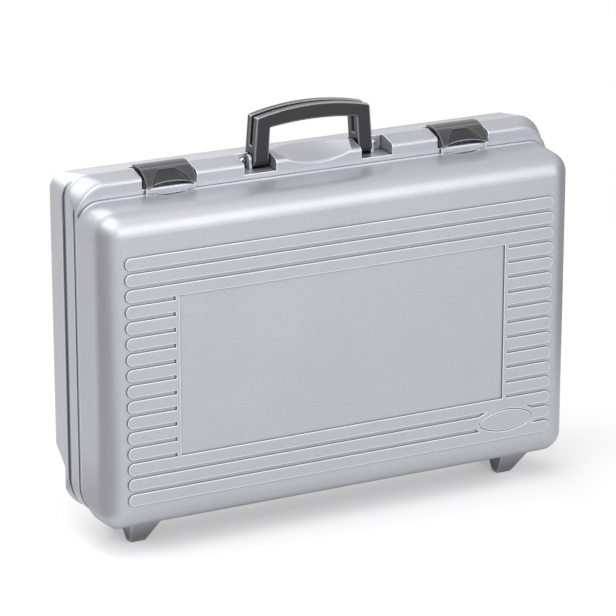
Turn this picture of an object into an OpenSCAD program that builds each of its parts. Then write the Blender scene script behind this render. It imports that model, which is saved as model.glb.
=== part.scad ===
// Moulded plastic carrying case, standing upright on its hinge side.
// +X is to the right, +Y to the back, +Z up. The origin is on the floor, at the middle of the case.
// The front shell is the lid. It meets the rear shell at the parting plane and swings on two hinges below.

/* [Case] */
// Overall width of the case
case_w = 480; // [420:1:540]
// Height of the top of the rim above the floor
rim_top = 336.7; // [300:0.1:380]
// Height of the underside of the rear shell above the floor, which the feet make up
ground_gap = 20.5; // [18:0.5:26]
// Depth of the front shell, from the parting plane to its front face
lid_depth = 51.5; // [46:0.5:70]
// Depth of the rear shell, from the parting plane to its back face
base_depth = 69.5; // [66:0.5:90]
// Wall thickness of both shells
wall = 3; // [2.4:0.1:3.6]

/* [Rear shell] */
// Corner radius of the rim, seen from the front
rim_r = 34; // [28:1:40]
// Width of the rim band, from the parting plane to the stiffening groove
band_w = 21; // [18:0.5:26]
// Width of the stiffening groove
groove_w = 10; // [6:0.5:11]
// Depth of the stiffening groove
groove_d = 2.2; // [1:0.1:2.4]
// Height above the ridge that the groove aims for, so that it runs out in the top corners
groove_out = 1.4; // [0.5:0.1:4]
// Width of the shallow step beside the parting plane
seam_w = 6.5; // [4:0.5:8]
// Depth of that step
seam_d = 1.2; // [0.6:0.1:1.6]
// Rounding of the rim's upper edge at the parting plane
rim_edge = 4; // [2:0.5:6]
// Height of the ridge along the rim's top above its front edge
crown_h = 3.8; // [2:0.1:5]
// Distance of the ridge behind the parting plane
crown_y = 18.3; // [16:0.1:22]
// Distance behind the parting plane at which the slope behind the ridge runs out
crown_end = 57; // [50:1:58]
// Corner radius of the rim at the ridge, seen from the front
crown_r = 20; // [18:1:24]
// Drop from the rim's top to the top of the rear shell behind it
base_drop = 1.3; // [0.5:0.1:2]
// Draft angle of the rear shell's sides
base_draft = 3.5; // [1.5:0.5:4]
// Corner radius of the rear shell where it leaves the rim
base_r = 17; // [16:1:24]
// Rounding between the sides and the back face
base_fillet = 10; // [7:0.5:12]
// Depth of the heel, from the parting plane to the heel's upright face
heel_depth = 38.5; // [36:0.5:44]
// Height of the heel above the underside
heel_h = 42; // [30:1:60]
// Angle at which the back swells out above the heel
heel_slope = 33; // [20:1:45]

/* [Front shell] */
// Drop from the rim's top to the lid's top
lid_drop = 15.7; // [14:0.1:18]
// Rise of the lid's underside above the rear shell's
lid_rise = 3; // [2:0.5:4]
// Corner radius of the lid's upper corners
lid_r = 22; // [21:0.5:28]
// Corner radius of the lid's lower corners at the parting plane
lid_heel_r = 31; // [28:1:34]
// Draft angle of the lid's sides
lid_draft = 3; // [1:0.5:4]
// Rounding between the lid's sides and its front face
lid_fillet = 20; // [16:0.5:20]
// Length of the tongue that reaches into the rear shell
tongue_l = 4; // [3:0.5:6]
// Thickness of the tongue
tongue_t = 1.6; // [1.2:0.1:2]
// Height above the lid's bottom at which the tongue starts
tongue_from = 60; // [40:1:90]
// Gap between the tongue and the rear shell
seam_gap = 0.4; // [0.3:0.05:0.6]

/* [Ribs] */
// Number of ribs across the front
rib_count = 16; // [12:1:16]
// Distance from one rib to the next
rib_pitch = 14.64; // [13:0.01:15]
// Width of the channel between two ribs
rib_gap = 3.8; // [2.5:0.1:5]
// Height of the ribs
rib_h = 1.5; // [0.8:0.1:2]
// Distance from the case's end to the rounded end of a rib
rib_end = 23.2; // [22:0.1:36]
// Height of the middle of the rib field above the floor
rib_z = 166.3; // [160:0.1:175]
// Distance from the case's end to the bare panel in the middle
panel_end = 74.7; // [60:0.1:110]
// Width of the strip that closes the channels beside the panel
strip_w = 3.7; // [2:0.1:6]
// Ribs that run right across, above and below the panel
full_ribs = 3; // [2:1:5]
// Half length of the oval badge field
oval_a = 28.5; // [20:0.5:32]
// Half height of the oval badge field
oval_b = 11; // [8:0.5:12]
// Distance from the case's right end to the oval's centre
oval_end = 70.4; // [65:0.1:90]

/* [Feet] */
// Distance from the case's end to the centre of a foot
foot_end = 48.3; // [44:0.1:70]
// Width of a foot's pad
foot_w = 15; // [12:0.5:20]
// Depth of a foot's pad
foot_d = 9; // [7:0.5:12]
// Flare of a foot to each side, at the top
foot_flare = 8; // [2:0.5:10]
// Slope of a front foot towards the front of the case, at the top
foot_lean = 22; // [10:0.5:26]
// Slope of a rear foot towards the back, at the top
rear_lean = 4; // [2:0.5:5]
// Distance from the parting plane to the inner edge of a front foot's pad
foot_front = 4.5; // [3:0.5:8]
// Distance from the parting plane to the inner edge of a rear foot's pad
foot_rear = 24; // [22:0.5:27]

/* [Handle] */
// Width of the handle at its top corners
handle_w = 113; // [100:1:130]
// Spread of each leg from top to bottom
handle_splay = 3.7; // [0:0.1:5]
// Thickness of the handle from front to back
handle_t = 20; // [18:0.5:24]
// Height of the handle's top corners above the pivot
handle_h = 39; // [32:0.5:50]
// Rise of the arched grip over its corners
handle_arch = 7; // [4:0.5:10]
// Rise of the arched upper edge of the handle's opening
window_arch = 3; // [1:0.5:5]
// Height of the grip bar
bar_h = 14; // [10:0.5:16]
// Width of each leg
leg_w = 13.4; // [11:0.1:15]
// Width of the channel round the outside of the handle
channel_w = 6.5; // [4:0.5:8]
// Depth of that channel
channel_d = 3.4; // [2:0.1:4]
// Distance of the handle's pivot behind the parting plane
pivot_y = 18.5; // [17:0.5:20]
// Depth of the handle's pivot below the rim's top
pivot_drop = 2.2; // [1.8:0.1:3]
// Diameter of the handle's pivot pins
pivot_d = 4; // [3:0.1:5]
// Radius of a leg's lower end round its pivot
leg_end_r = 8; // [6.5:0.1:8.3]

/* [Handle pockets] */
// Depth of a pocket's floor below the rim's top
pocket_drop = 10.7; // [10.7:0.1:12]
// Gap between a leg and the inner wall of its pocket
pocket_gap = 1.2; // [0.8:0.1:3]
// Width of a pocket
pocket_w = 32; // [28:0.5:36]
// Distance of the pocket's back wall behind the parting plane, beside the leg
pocket_y = 22.5; // [21:0.5:26]
// Thickness of the ear that carries the outer end of a pivot pin
ear_t = 2.5; // [2:0.1:4]
// Material round a pivot pin in its ear
ear_wall = 2.2; // [1.8:0.1:3]
// Radius of the finger scoop between the pockets
scoop_r = 96; // [80:1:120]
// Depth of the finger scoop at the front
scoop_d = 7; // [4:0.5:8]
// Length of the finger scoop, over which it runs out
scoop_l = 55; // [40:1:60]
// Diameter of the handle's screws
screw_d = 2.5; // [2:0.1:3]
// Length of a screw's shank
screw_l = 8; // [6:0.5:9]
// Height of a screw's domed head
screw_head_h = 2; // [1.5:0.1:2.5]
// Diameter of the heads of the handle's screws
screw_head_d = 6; // [5:0.5:7]

/* [Latches] */
// Distance from the case's end to the centre of a latch
latch_end = 90.8; // [80:0.1:115]
// Width of a latch
latch_w = 48.4; // [40:0.1:52]
// Outer radius of the curved latch plate
latch_r = 28; // [26:0.5:30]
// Height of a latch's top above the rim
latch_rise = 6.1; // [5:0.1:7]
// Thickness of the latch plate
latch_t = 3; // [2.4:0.1:3.5]
// Distance of the plate's centre of curvature behind the parting plane
latch_y = 18.5; // [18:0.1:19.5]
// Gap between a latch and the side walls of its recess
latch_gap = 2.6; // [1:0.1:3]
// Depth of a latch's recess in the rim
recess_d = 11.2; // [10.8:0.1:12]
// Radius of the latch's cheeks round the pin
cheek_r = 3.6; // [3:0.1:4]
// Distance of the latch pin behind the parting plane
latch_pin_y = 23.5; // [22.5:0.1:24.5]
// Depth of the latch pin below the rim's top
latch_pin_drop = 2.2; // [1.8:0.1:3]
// Diameter of the latch pins
latch_pin_d = 3; // [2.5:0.1:3.5]
// Thickness of the lid's catch bars
catch_t = 2.4; // [2:0.1:3.2]
// Height of a latch's lower corners above the lid's top
lip_rise = 6; // [5:0.1:7]
// Hollow of a latch's lower edge
lip_hollow = 3.6; // [1:0.1:5]
// Depth of the finger scoop in a latch
thumb_d = 1.6; // [0.5:0.1:1.8]
// Width of that scoop at its upper end
thumb_w = 15; // [10:0.5:20]
// Angle from the latch's top down its curve to the upper end of that scoop
thumb_a = 24; // [15:1:35]
// Depth of the hollow in the lid's top under a latch's lip
under_d = 3.3; // [1:0.1:3.4]
// Length of that hollow, from the lid's rim to where it runs out
under_l = 11; // [8:0.5:14]

/* [Hinges] */
// Distance from the case's end to the centre of a hinge
hinge_end = 112; // [100:1:150]
// Number of knuckles in a hinge
knuckles = 5; // [3:2:7]
// Length of one knuckle
knuckle_l = 12; // [8:0.5:14]
// Gap between two knuckles
knuckle_gap = 0.4; // [0.3:0.1:0.8]
// Radius of a knuckle
knuckle_r = 4.2; // [3.9:0.1:4.8]
// Depth of the hinge axis below the rear shell's underside
hinge_drop = 0.5; // [0:0.1:2]
// Diameter of the hinge pins
hinge_pin_d = 4; // [3:0.1:5]

/* [Fits] */
// Radial clearance of a pin in the hole it turns in
pin_clear = 0.05; // [0.02:0.01:0.1]
// Gap between moving parts that pass each other
run_gap = 0.6; // [0.4:0.1:0.8]
// Gap between the rims of the two shells
rim_gap = 0.4; // [0.2:0.1:0.6]

/* [Hidden] */
$fn = 96;

half_w = case_w / 2;
rib_x = half_w - rib_end;
panel_x = half_w - panel_end;
oval_x = half_w - oval_end;
foot_x = half_w - foot_end;
latch_x = half_w - latch_end;
hinge_x = half_w - hinge_end;
// The parting plane stands here, so that the ribs in front and behind reach equally far
part_y = (lid_depth - base_depth) / 2;
lid_top = rim_top - lid_drop;
lid_bottom = ground_gap + lid_rise;
base_start = band_w + groove_w;
rib_w = rib_pitch - rib_gap;
panel_top = rib_z + (rib_count / 2 - full_ribs) * rib_pitch - rib_gap / 2;
panel_bottom = rib_z - (rib_count / 2 - full_ribs) * rib_pitch + rib_gap / 2;
oval_z = rib_z - (rib_count / 2 - 1.5) * rib_pitch - rib_gap / 2 + 0.3;
hinge_z = ground_gap - hinge_drop;
hinge_half = knuckles * (knuckle_l + knuckle_gap) / 2;
pivot_z = rim_top - pivot_drop;
pocket_floor = rim_top - pocket_drop;
leg_out = handle_w / 2 + handle_splay;
leg_in = leg_out - leg_w - 1;
pocket_in = leg_in - pocket_gap - pivot_y / handle_h * (leg_in - handle_w / 2 + leg_w);
leg_back = pivot_y + handle_t - leg_end_r;
slot_y = leg_back + run_gap + 0.4;
latch_z = rim_top + latch_rise - latch_r;
latch_pin_z = rim_top - latch_pin_drop;
recess_floor = rim_top - recess_d;
recess_w = latch_w + 2 * latch_gap;
ridge = rim_top + crown_h;
latch_room = latch_z + latch_r - latch_pin_z + 2 * run_gap;
lip_z = lid_top + lip_rise;
silver = [0.70, 0.71, 0.73];
charcoal = [0.20, 0.20, 0.21];
graphite = [0.34, 0.34, 0.36];
steel = [0.62, 0.62, 0.64];

// Helpers

// Extrudes an outline drawn in X and Z along Y, from y0 to y1
module along_y(y0, y1) {
    translate([0, y1, 0]) rotate([90, 0, 0]) linear_extrude(y1 - y0) children();
}

// Extrudes an outline drawn in Y and Z along X, from x0 to x1
module along_x(x0, x1) {
    translate([x0, 0, 0]) rotate([90, 0, 90]) linear_extrude(x1 - x0) children();
}

// A rod along X
module rod_x(x0, x1, y, z, r) {
    translate([x0, y, z]) rotate([0, 90, 0]) cylinder(h = x1 - x0, r = r);
}

module both_sides() {
    children();
    mirror([1, 0, 0]) children();
}

// A rectangle with round corners, of radius rb at the bottom and rt at the top
module frame_outline(hx, z0, z1, rb, rt) {
    translate([-hx, z0 + rb]) square([2 * hx, z1 - rt - z0 - rb]);
    translate([-hx + rb, z0]) square([2 * (hx - rb), rb]);
    translate([-hx + rt, z1 - rt]) square([2 * (hx - rt), rt]);
    for (s = [-1, 1]) {
        translate([s * (hx - rb), z0 + rb]) circle(rb);
        translate([s * (hx - rt), z1 - rt]) circle(rt);
    }
}

// The largest rounding up to f that leaves a wall section of half width n its flat end
function fitted(n, d, draft, f) = min(f, (n - 0.1 - d * tan(draft)) / (1 / cos(draft) - tan(draft)));

// Half section of a drafted wall: out to n at the open side, with a rounding at depth d
module wall_section(n, d, draft, rounding) {
    f = fitted(n, d, draft, rounding);
    cd = d - f;
    cn = n - cd * tan(draft) - f / cos(draft);
    polygon([[0, 0], [n, 0], [cn + f * cos(draft), cd + f * sin(draft)], [cn, d], [0, d]]);
    intersection() {
        translate([cn, cd]) circle(f);
        translate([cn, cd]) square([f + 1, f + 1]);
    }
}

// A tray swept from that section round a rectangle, filled, opening at y = 0 and deepening along +Y
module tray(hx, z0, z1, r, d, draft, f) {
    cx = hx - r;
    translate([-cx, 0, z0 + r]) cube([2 * cx, d, z1 - z0 - 2 * r]);
    both_sides() {
        translate([cx, 0, z0 + r]) linear_extrude(z1 - z0 - 2 * r) wall_section(r, d, draft, f);
        translate([cx, 0, z0 + r]) rotate([-90, 0, 0])
            rotate_extrude(angle = 90) wall_section(r, d, draft, f);
        translate([cx, 0, z1 - r]) mirror([0, 0, 1]) rotate([-90, 0, 0])
            rotate_extrude(angle = 90) wall_section(r, d, draft, f);
    }
    translate([cx, 0, z1 - r]) rotate([0, -90, 0]) linear_extrude(2 * cx) wall_section(r, d, draft, f);
    translate([cx, 0, z0 + r]) mirror([0, 0, 1]) rotate([0, -90, 0])
        linear_extrude(2 * cx) wall_section(r, d, draft, f);
}

// What is trimmed off a square corner to leave a cone, of radius r0 at y0 and r1 at y1
module corner_trim(hx, z, up, r, y0, y1, r0, r1) {
    size = 1.5 * max(r0, r1);
    translate([hx - r, y0, z - up * r]) difference() {
        translate([0, 0, up > 0 ? 0 : -size]) cube([size, y1 - y0, size]);
        rotate([-90, 0, 0]) cylinder(h = y1 - y0, r1 = r0, r2 = r1);
    }
}

// An oval of four arcs, with end radius e
module oval(a, b, e) {
    c = a - e;
    big = (c * c + b * b - e * e) / (2 * (b - e));
    xt = c * big / (big - e);
    intersection() {
        translate([0, b - big]) circle(big);
        translate([0, big - b]) circle(big);
        square([2 * xt, 3 * b], center = true);
    }
    for (s = [-1, 1]) translate([s * c, 0]) circle(e);
}

// Rib field

module ribs(first, last) {
    for (i = [first:last]) {
        z = rib_z + (rib_count / 2 - 0.5 - i) * rib_pitch;
        translate([-rib_x + rib_w / 2, z - rib_w / 2]) square([2 * rib_x - rib_w, rib_w]);
        for (s = [-1, 1]) translate([s * (rib_x - rib_w / 2), z]) circle(rib_w / 2);
    }
}

// The raised ribs with the bare panel in the middle, as an outline
module rib_field() {
    difference() {
        ribs(0, rib_count - 1);
        translate([-panel_x, panel_bottom]) square([2 * panel_x, panel_top - panel_bottom]);
    }
    for (s = [-1, 1]) translate([s * (panel_x + strip_w / 2), (panel_top + panel_bottom) / 2])
        square([strip_w, panel_top - panel_bottom + rib_w], center = true);
}

// The oval field for a badge, left bare, with a fine line round it
module badge_field() {
    difference() {
        oval(oval_a + 4.5, oval_b + 3.5, 8);
        difference() {
            oval(oval_a, oval_b, 5.5);
            oval(oval_a - 0.9, oval_b - 0.9, 4.6);
        }
    }
}

// A foot that tapers to its pad: y0 is the pad's inner edge and the body leans out towards -Y
module foot(y0, lean, top) {
    intersection() {
        along_y(y0 - foot_d - lean - 1, y0 + 1)
            polygon([[foot_x - foot_w / 2, 0], [foot_x + foot_w / 2, 0],
                     [foot_x + foot_w / 2 + foot_flare, top], [foot_x - foot_w / 2 - foot_flare, top]]);
        along_x(foot_x - foot_w - foot_flare, foot_x + foot_w + foot_flare)
            polygon([[y0, 0], [y0, top], [y0 - foot_d - lean, top], [y0 - foot_d, 0]]);
    }
}

// One shell's share of a hinge's knuckles, with the webs that carry them
module knuckle_set(own, side) {
    step = knuckle_l + knuckle_gap;
    for (i = [0:knuckles - 1]) if (i % 2 == own) {
        x0 = hinge_x + (i - knuckles / 2) * step + knuckle_gap / 2;
        rod_x(x0, x0 + knuckle_l, 0, hinge_z, knuckle_r);
        along_x(x0, x0 + knuckle_l)
            polygon([[0, hinge_z], [side * knuckle_r, hinge_z],
                     [side * (knuckle_r + 6), ground_gap + lid_rise + 1],
                     [side * 0.1, ground_gap + lid_rise + 1]]);
    }
}

// Thickening of the rear shell's bottom above a hinge
module hinge_pad() {
    top = hinge_z + knuckle_r + 0.4 + 2.5;
    translate([hinge_x - hinge_half - 4, 0.01, ground_gap + seam_d])
        cube([2 * hinge_half + 8, knuckle_r + 4, top - ground_gap - seam_d]);
}

// Room for the other shell's knuckles
module knuckle_room(own) {
    step = knuckle_l + knuckle_gap;
    for (i = [0:knuckles - 1]) if (i % 2 != own) {
        x0 = hinge_x + (i - knuckles / 2) * step;
        rod_x(x0, x0 + step, 0, hinge_z, knuckle_r + 0.4);
    }
}

// Rear shell

// Trims the lower corners, which tighten towards the back
module base_trims(inset) {
    r1 = base_r + (rim_r - base_r) * 1.25 + 8;
    both_sides() corner_trim(half_w - inset, ground_gap + inset, -1, rim_r - inset,
                             base_start, base_depth, rim_r - inset - 0.5, r1 - inset - 0.5);
}

// Trims the rim's upper corners, which tighten up to the ridge and fall back behind it
module rim_trims() {
    both_sides() {
        corner_trim(half_w, rim_top, 1, rim_r, -1, rim_edge, rim_r, rim_r);
        corner_trim(half_w, rim_top, 1, rim_r, rim_edge, crown_y, rim_r, rim_r + 8);
        corner_trim(half_w, rim_top, 1, rim_r, crown_y, base_start + 0.01, rim_r + 8, rim_r + 6.2);
        corner_trim(half_w, rim_top, 1, rim_r, base_start, crown_end + 1, rim_r + 6.2, rim_r + 3);
    }
}

module heel_cut(inset) {
    z = ground_gap + heel_h;
    run = base_depth - heel_depth + 2;
    along_x(-half_w - 1, half_w + 1)
        polygon([[heel_depth - inset, 0], [base_depth + 2, 0],
                 [base_depth + 2, z + inset + run * tan(heel_slope)],
                 [heel_depth - inset, z + inset]]);
}

// Profile of the rim's top from front to back, with the slope behind the ridge
module roof_profile() {
    polygon([[-1, ground_gap - 1], [-1, rim_top], [rim_edge, rim_top], [crown_y, ridge],
             [crown_end, rim_top - 3.2], [crown_end, ground_gap - 1]]);
}

module base_outside() {
    intersection() {
        difference() {
            union() {
                along_y(0, base_start) frame_outline(half_w, ground_gap, ridge, rim_r, crown_r);
                along_y(base_start, crown_end)
                    frame_outline(half_w - 3, rim_top - 2 * rim_r, ridge, 1, crown_r + 4);
            }
            rim_trims();
        }
        along_x(-half_w, half_w) roof_profile();
    }
    difference() {
        translate([0, base_start, 0])
            tray(half_w, ground_gap, rim_top - base_drop, base_r, base_depth - base_start, base_draft,
                 base_fillet);
        base_trims(0);
        heel_cut(0);
    }
}

module base_inside() {
    inset = wall + groove_d;
    difference() {
        union() {
            along_y(wall, base_start + 2)
                frame_outline(half_w - inset, ground_gap + inset, rim_top - inset, rim_r - inset,
                              rim_r - inset);
            difference() {
                translate([0, base_start, 0])
                    tray(half_w - inset, ground_gap + inset, rim_top - base_drop - inset, base_r - inset,
                         base_depth - base_start - wall, base_draft, base_fillet - wall);
                base_trims(inset);
            }
        }
        heel_cut(wall);
    }
    along_y(-1, wall + 1)
        frame_outline(half_w - wall, lid_bottom + wall, lid_top - wall, lid_heel_r - wall, lid_r - wall);
}

// A band of a depth that runs round the sides and the bottom, and out in the top corners
module side_band(y0, y1, depth, top, r) {
    along_y(y0, y1) difference() {
        translate([-half_w - 1, ground_gap - 1]) square([case_w + 2, top - ground_gap + 10]);
        frame_outline(half_w - depth, ground_gap + depth, top, rim_r - depth, r);
    }
}

// What is cut off to round the rim's upper edge. In the corners it tilts, so that it runs out down the sides
module rim_edge_cut() {
    module section() {
        difference() {
            translate([rim_r - rim_edge, -1]) square([rim_edge + 5, rim_edge + 1]);
            translate([rim_r - rim_edge, rim_edge]) circle(rim_edge);
        }
    }
    cx = half_w - rim_r;
    cz = rim_top - rim_r;
    translate([cx + 1, 0, cz]) rotate([0, -90, 0]) linear_extrude(2 * cx + 2) section();
    both_sides() translate([cx, 0, cz]) rotate([0, 0, -asin((rim_edge + 1) / rim_r)])
        mirror([0, 0, 1]) rotate([-90, 0, 0]) rotate_extrude(angle = 90) section();
}

// Solid parts that close the shell round the pockets and the latch recesses
module top_blocks() {
    bottom = pocket_floor - wall;
    both_sides() translate([pocket_in - wall, 1, bottom])
        cube([pocket_w + 2 * wall, slot_y + wall - 1, rim_top - 1 - bottom]);
    translate([-pocket_in, 1, bottom]) cube([2 * pocket_in, base_start + 14, rim_top - 2 - bottom]);
    both_sides() translate([latch_x - recess_w / 2 - 5, 1, recess_floor - wall])
        cube([recess_w + 10, latch_pin_y + 9 + wall, rim_top - 1 - recess_floor + wall]);
}

module handle_pocket() {
    slot_out = leg_out + run_gap;
    top = ridge + 1 - pocket_floor;
    translate([pocket_in, -1, pocket_floor]) cube([pocket_w, pocket_y + 1, top]);
    translate([pocket_in, -1, pocket_floor]) cube([slot_out - pocket_in, slot_y + 1, top]);
}

module pocket_ear() {
    x0 = leg_out + run_gap;
    along_x(x0, x0 + ear_t) {
        translate([pivot_y, pivot_z]) circle(pivot_d / 2 + ear_wall);
        translate([pivot_y - pivot_d / 2 - ear_wall, pocket_floor - 1])
            square([pocket_y - pivot_y + 8, pivot_z - pocket_floor + 1]);
    }
}

module finger_scoop() {
    tilt = atan(scoop_d / scoop_l);
    start = -scoop_r * tan(tilt);
    lead = 1.2;
    translate([0, 0, rim_top - scoop_d + scoop_r / cos(tilt)]) rotate([-90 + tilt, 0, 0]) {
        translate([0, 0, start - 10]) cylinder(h = scoop_l - start, r = scoop_r, $fn = 360);
        translate([0, 0, start * cos(tilt) * cos(tilt) - lead])
            cylinder(h = 2 * lead, r1 = scoop_r + 2 * lead, r2 = scoop_r, $fn = 360);
    }
}

module latch_recess() {
    translate([latch_x - recess_w / 2, -1, recess_floor])
        cube([recess_w, latch_pin_y + 5.5, recess_d + crown_h + 1]);
    rod_x(latch_x - recess_w / 2, latch_x + recess_w / 2, latch_pin_y, latch_pin_z, latch_room);
}

module rear_shell() {
    color(silver) translate([0, part_y, 0]) difference() {
        union() {
            difference() {
                union() {
                    difference() {
                        base_outside();
                        base_inside();
                        side_band(-1, seam_w, seam_d, rim_top + 12, rim_r);
                        side_band(band_w, base_start, groove_d, ridge + groove_out, crown_r + 4);
                    }
                    top_blocks();
                }
                rim_edge_cut();
                both_sides() handle_pocket();
                finger_scoop();
                both_sides() latch_recess();
            }
            both_sides() pocket_ear();
            both_sides() knuckle_set(1, 1);
            both_sides() translate([0, foot_rear, 0]) mirror([0, 1, 0])
                foot(0, rear_lean, ground_gap + 1);
            both_sides() hinge_pad();
        }
        both_sides() {
            rod_x(pocket_in - 2.4, leg_out + run_gap + ear_t + 1, pivot_y, pivot_z, pivot_d / 2 + pin_clear);
            rod_x(latch_x - recess_w / 2 - 3.5, latch_x + recess_w / 2 + 3.5, latch_pin_y, latch_pin_z,
                  latch_pin_d / 2 + pin_clear);
            rod_x(hinge_x - hinge_half, hinge_x + hinge_half, 0, hinge_z, hinge_pin_d / 2 + pin_clear);
            knuckle_room(1);
            translate([screw_x(), pocket_y - 1, screw_z()]) rotate([-90, 0, 0])
                cylinder(h = screw_l + 2, d = screw_d + 2 * pin_clear);
        }
    }
}

function screw_x() = leg_out + run_gap + ear_t + screw_head_d / 2 + 0.8;
function screw_z() = pocket_floor + 0.62 * pocket_drop;

// Front shell

module lid_outside() {
    mirror([0, 1, 0]) difference() {
        tray(half_w, lid_bottom, lid_top, lid_r, lid_depth, lid_draft, lid_fillet);
        both_sides() corner_trim(half_w, lid_bottom, -1, lid_heel_r, 0, lid_depth,
                                 lid_heel_r, lid_heel_r + 9);
    }
}

module lid_inside() {
    mirror([0, 1, 0]) difference() {
        translate([0, -0.01, 0])
            tray(half_w - wall, lid_bottom + wall, lid_top - wall, lid_r - wall, lid_depth - wall,
                 lid_draft, lid_fillet - wall);
        both_sides() corner_trim(half_w - wall, lid_bottom + wall, -1, lid_heel_r - wall, -1, lid_depth,
                                 lid_heel_r - wall, lid_heel_r - wall + 9);
    }
}

// A tongue round the top and the sides that centres the lid in the rear shell
module tongue() {
    gap = wall + seam_gap;
    along_y(-8, tongue_l) difference() {
        frame_outline(half_w - gap, lid_bottom + gap, lid_top - gap, lid_heel_r - gap, lid_r - gap);
        frame_outline(half_w - gap - tongue_t, lid_bottom + gap + tongue_t, lid_top - gap - tongue_t,
                      lid_heel_r - gap - tongue_t, lid_r - gap - tongue_t);
        translate([-half_w, 0]) square([case_w, lid_bottom + tongue_from]);
    }
}

// Bridges the tongue to the wall inside the lid
module tongue_root() {
    gap = wall + seam_gap;
    along_y(-8, -3) difference() {
        frame_outline(half_w - wall + 0.6, lid_bottom + wall, lid_top - wall + 0.6, lid_heel_r, lid_r);
        frame_outline(half_w - gap - tongue_t, lid_bottom + gap + tongue_t, lid_top - gap - tongue_t,
                      lid_heel_r - gap - tongue_t, lid_r - gap - tongue_t);
        translate([-half_w, 0]) square([case_w, lid_bottom + tongue_from]);
    }
}

// The bar on the lid's rim that a latch's lip closes over
module catch_bar() {
    half = latch_w / 2 - 0.5;
    along_x(latch_x - half, latch_x + half)
        polygon([[-rim_gap - catch_t, lid_top - 1], [-rim_gap, lid_top - 1],
                 [-rim_gap, lip_z - run_gap], [-rim_gap - catch_t + 0.8, lip_z - run_gap],
                 [-rim_gap - catch_t, lip_z - run_gap - 1.2]]);
}

// A hollow in the lid's top under a latch's lip, which gives the fingers room
module lip_hollow_cut() {
    half = latch_w / 2;
    r = (half * half + under_d * under_d) / (2 * under_d);
    tilt = atan(under_d / under_l);
    translate([latch_x, -rim_gap, lid_top - under_d + r / cos(tilt)]) rotate([90 - tilt, 0, 0])
        translate([0, 0, -r * tan(tilt) - 10])
            cylinder(h = 10 + r * tan(tilt) + 3 * under_l, r = r, $fn = 360);
}

// Thicker wall below that hollow
module lip_hollow_floor() {
    half = latch_w / 2 + 2;
    along_x(latch_x - half, latch_x + half)
        polygon([[-under_l - wall, lid_top - wall + 0.5], [-under_l - wall, lid_top - wall - 0.5],
                 [-rim_gap, lid_top - under_d - wall + 0.5], [-rim_gap, lid_top - wall + 0.5]]);
}

module front_shell() {
    color(silver) translate([0, part_y, 0]) difference() {
        union() {
            difference() {
                union() {
                    lid_outside();
                    along_y(-lid_depth - rib_h, -lid_depth + 1) {
                        difference() {
                            rib_field();
                            translate([oval_x, oval_z]) oval(oval_a + 4.4, oval_b + 3.4, 8);
                        }
                        translate([oval_x, oval_z]) badge_field();
                    }
                    both_sides() foot(-foot_front, foot_lean, lid_bottom + 4);
                }
                difference() {
                    lid_inside();
                    both_sides() lip_hollow_floor();
                }
                both_sides() lip_hollow_cut();
                translate([-case_w, -rim_gap, 0]) cube([2 * case_w, 1, rim_top]);
            }
            tongue();
            tongue_root();
            both_sides() catch_bar();
            both_sides() knuckle_set(0, -1);
        }
        both_sides() {
            rod_x(hinge_x - hinge_half, hinge_x + hinge_half, 0, hinge_z, hinge_pin_d / 2 + pin_clear);
            knuckle_room(0);
        }
    }
}

// Handle

// Outline of the handle from the front, drawn in by an inset
module handle_outline(inset) {
    top = pivot_z + handle_h;
    hw = handle_w / 2;
    r = (hw * hw + handle_arch * handle_arch) / (2 * handle_arch);
    intersection() {
        polygon([[-leg_out + inset, pivot_z - leg_end_r], [leg_out - inset, pivot_z - leg_end_r],
                 [leg_out - inset, pivot_z], [hw - inset, top + handle_arch],
                 [-hw + inset, top + handle_arch],
                 [-leg_out + inset, pivot_z]]);
        translate([0, top + handle_arch - r]) circle(r - inset, $fn = 360);
    }
}

module handle_window(inset) {
    top = pivot_z + handle_h + handle_arch - bar_h;
    hw = handle_w / 2 - leg_w;
    r = (hw * hw + window_arch * window_arch) / (2 * window_arch);
    intersection() {
        polygon([[-leg_in - inset, 0], [leg_in + inset, 0], [leg_in + inset, pivot_z],
                 [hw + inset, top + 9], [-hw - inset, top + 9], [-leg_in - inset, pivot_z]]);
        translate([0, top - r]) circle(r + inset, $fn = 360);
    }
}

module handle() {
    front = pivot_y - leg_end_r;
    mid = front + handle_t / 2;
    color(charcoal) translate([0, part_y, 0]) difference() {
        intersection() {
            along_y(front, front + handle_t) difference() {
                handle_outline(0);
                handle_window(0);
            }
            along_x(-leg_out - 1, leg_out + 1) union() {
                translate([pivot_y, pivot_z]) circle(leg_end_r);
                translate([front, pivot_z]) square([handle_t, handle_h + handle_arch + 1]);
                translate([pivot_y, pivot_z - 2.5]) square([handle_t - leg_end_r, 3]);
            }
        }
        along_y(mid - channel_w / 2, mid + channel_w / 2) difference() {
            translate([-leg_out - 5, pivot_z + 12]) square([2 * leg_out + 10, handle_h + handle_arch]);
            handle_outline(channel_d);
        }
        along_y(mid - channel_w / 2, mid + channel_w / 2) intersection() {
            difference() {
                handle_window(channel_d * 0.6);
                handle_window(0);
            }
            translate([-leg_out, pivot_z + 12]) square([2 * leg_out, handle_h + handle_arch]);
        }
        both_sides() rod_x(leg_in - 2, leg_out + 2, pivot_y, pivot_z, pivot_d / 2 + pin_clear);
    }
}

module handle_pin(s) {
    x0 = pocket_in - 2.2;
    color(steel) translate([0, part_y, 0]) mirror([s < 0 ? 1 : 0, 0, 0])
        rod_x(x0, leg_out + run_gap + ear_t, pivot_y, pivot_z, pivot_d / 2);
}

module handle_screws() {
    color(steel) translate([0, part_y, 0]) both_sides()
        translate([screw_x(), pocket_y, screw_z()]) rotate([90, 0, 0]) {
            translate([0, 0, -screw_l]) cylinder(h = screw_l, d = screw_d);
            intersection() {
                cylinder(h = screw_head_h, d = screw_head_d);
                translate([0, 0, screw_head_h + 0.2 - screw_head_d]) sphere(screw_head_d);
            }
        }
}

// Latches

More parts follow.
